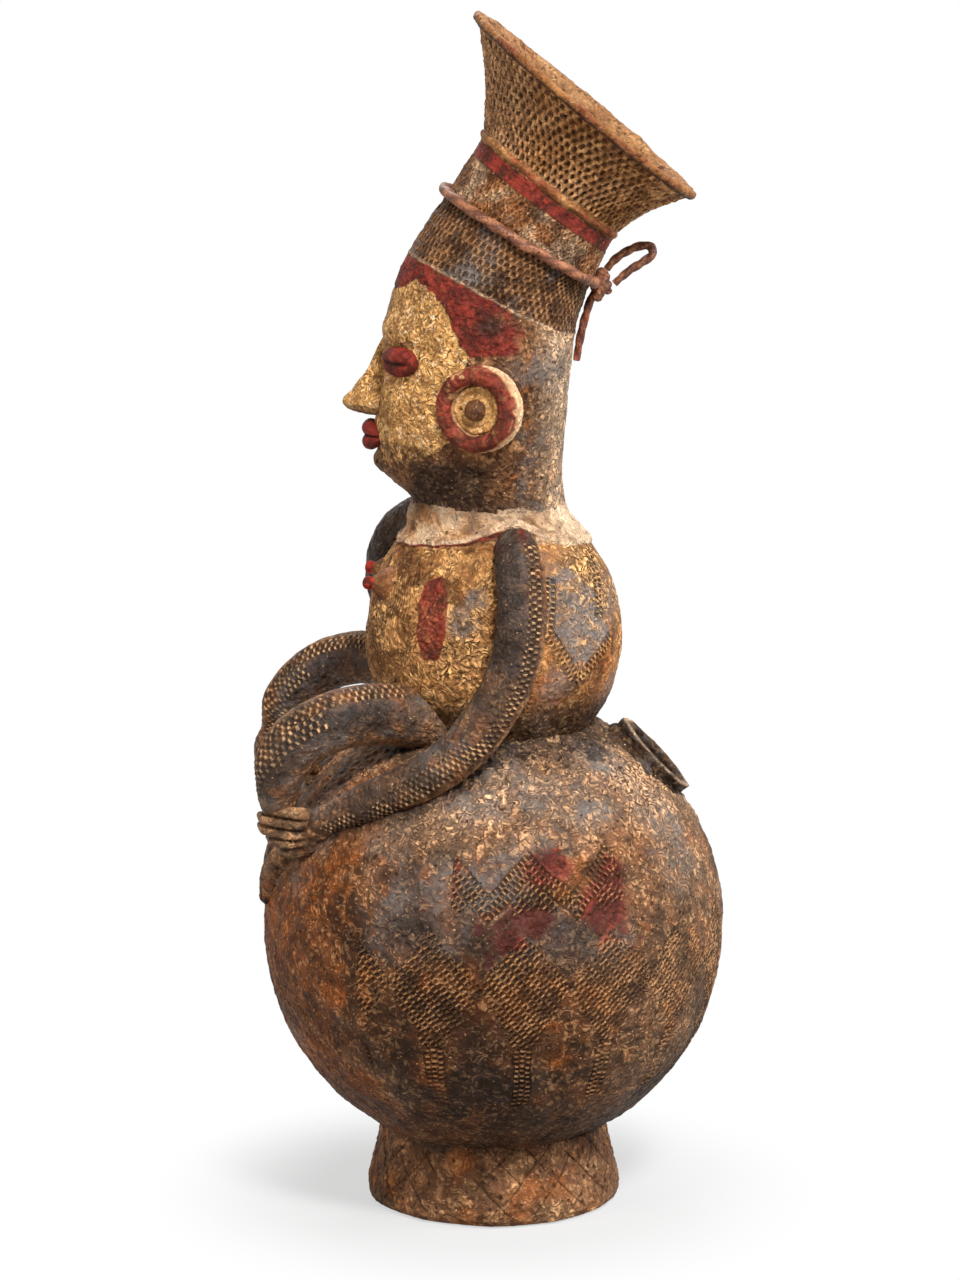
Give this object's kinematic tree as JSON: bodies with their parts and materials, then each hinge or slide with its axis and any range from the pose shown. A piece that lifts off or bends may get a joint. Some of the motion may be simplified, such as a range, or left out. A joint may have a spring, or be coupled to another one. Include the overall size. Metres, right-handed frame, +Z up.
{
  "type": "figural clay jar",
  "caption": "Hollow clay jar shaped as a seated figure on a globe belly, with a flaring crown mouth, a shoulder spout and a ring foot.",
  "frame": {"origin": "on the ground under the middle of the fired clay's bounding box", "axes": "+Z up, -X the way that the figure faces, -Y the figure's left side, which the picture shows"},
  "size_m": [0.1998, 0.1936, 0.5005],
  "materials": {
    "brown_clay": "unglazed, matt, comb-stamped and rubbed with brown earth",
    "tan_clay": "unglazed, matt, tan-ochre with pits and stamped lines",
    "sooted_clay": "unglazed, matt, blackened by smoke",
    "red_slip": "matt dark red slip",
    "ochre_slip": "matt yellow ochre slip",
    "hide_thong": "dry twisted hide, pinkish brown"
  },
  "bodies": {
    "root": {"foot_ring": "brown_clay", "belly_globe": "brown_clay", "shoulder_spout": "sooted_clay", "torso": "tan_clay", "collar": "tan_clay", "head": "brown_clay", "crown_flare": "tan_clay", "arm_left": "sooted_clay", "leg_left": "brown_clay", "foot_left": "brown_clay", "hand_left": "brown_clay", "breast_left": "tan_clay", "ear_ring_left": "red_slip", "ear_disc_left": "ochre_slip", "ear_boss_left": "sooted_clay", "eye_left": "red_slip", "arm_right": "sooted_clay", "leg_right": "brown_clay", "foot_right": "brown_clay", "hand_right": "brown_clay", "breast_right": "tan_clay", "ear_ring_right": "red_slip", "ear_disc_right": "ochre_slip", "ear_boss_right": "sooted_clay", "eye_right": "red_slip", "nose": "brown_clay", "upper_lip": "red_slip", "lower_lip": "red_slip", "head_thong": "hide_thong", "thong_knot": "hide_thong", "thong_bow": "hide_thong", "thong_tail": "hide_thong"}
  },
  "joints": []
}
